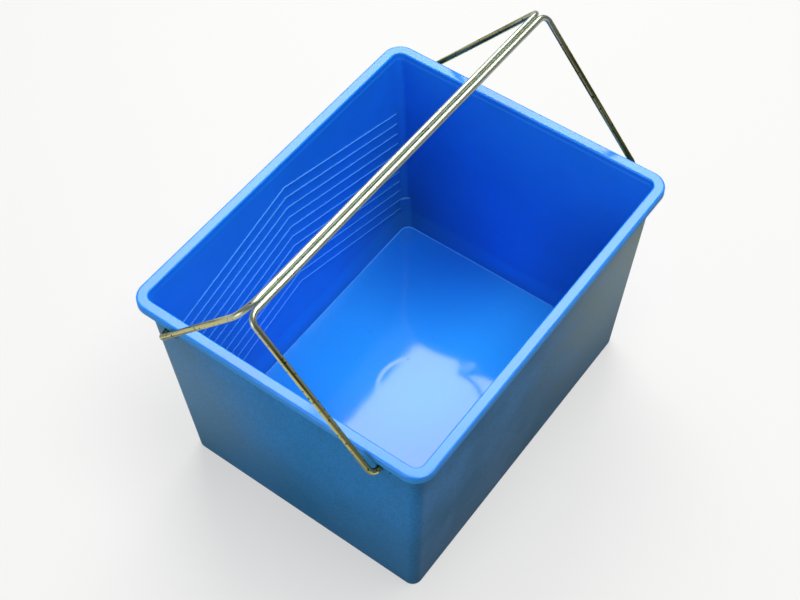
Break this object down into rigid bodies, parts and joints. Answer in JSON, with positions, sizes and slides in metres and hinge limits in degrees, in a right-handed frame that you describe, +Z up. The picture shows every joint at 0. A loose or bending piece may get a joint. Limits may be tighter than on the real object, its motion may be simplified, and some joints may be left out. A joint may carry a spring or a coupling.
{
  "type": "paint bucket",
  "caption": "Rectangular drafted tub with a flat lipped rim and a chevron-ribbed inner wall for wiping a paint roller, carried by hinged wire bails that meet over the middle.",
  "frame": {"origin": "on the ground under the middle of the tub", "axes": "+X along the long side and the grips, +Y towards the ribbed back wall, +Z up"},
  "size_m": [0.3704, 0.28, 0.3224],
  "materials": {
    "polypropylene": "glossy moulded polypropylene, blue right through",
    "zinc_wire": "drawn steel wire, zinc plated with a yellowish tint"
  },
  "bodies": {
    "tub": {"tub": "polypropylene"},
    "back_bail": {"back_bail": "zinc_wire"},
    "front_bail": {"front_bail": "zinc_wire"}
  },
  "joints": [
    {"name": "back_bail_hinge", "type": "hinge", "parent": "tub", "child": "back_bail", "pos_m": [0, 0.102, 0.2055], "axis": [-1, 0, 0], "range_deg": [0, 211.5]},
    {"name": "front_bail_hinge", "type": "hinge", "parent": "tub", "child": "front_bail", "pos_m": [0, -0.102, 0.2055], "axis": [1, 0, 0], "range_deg": [0, 211.5]}
  ]
}
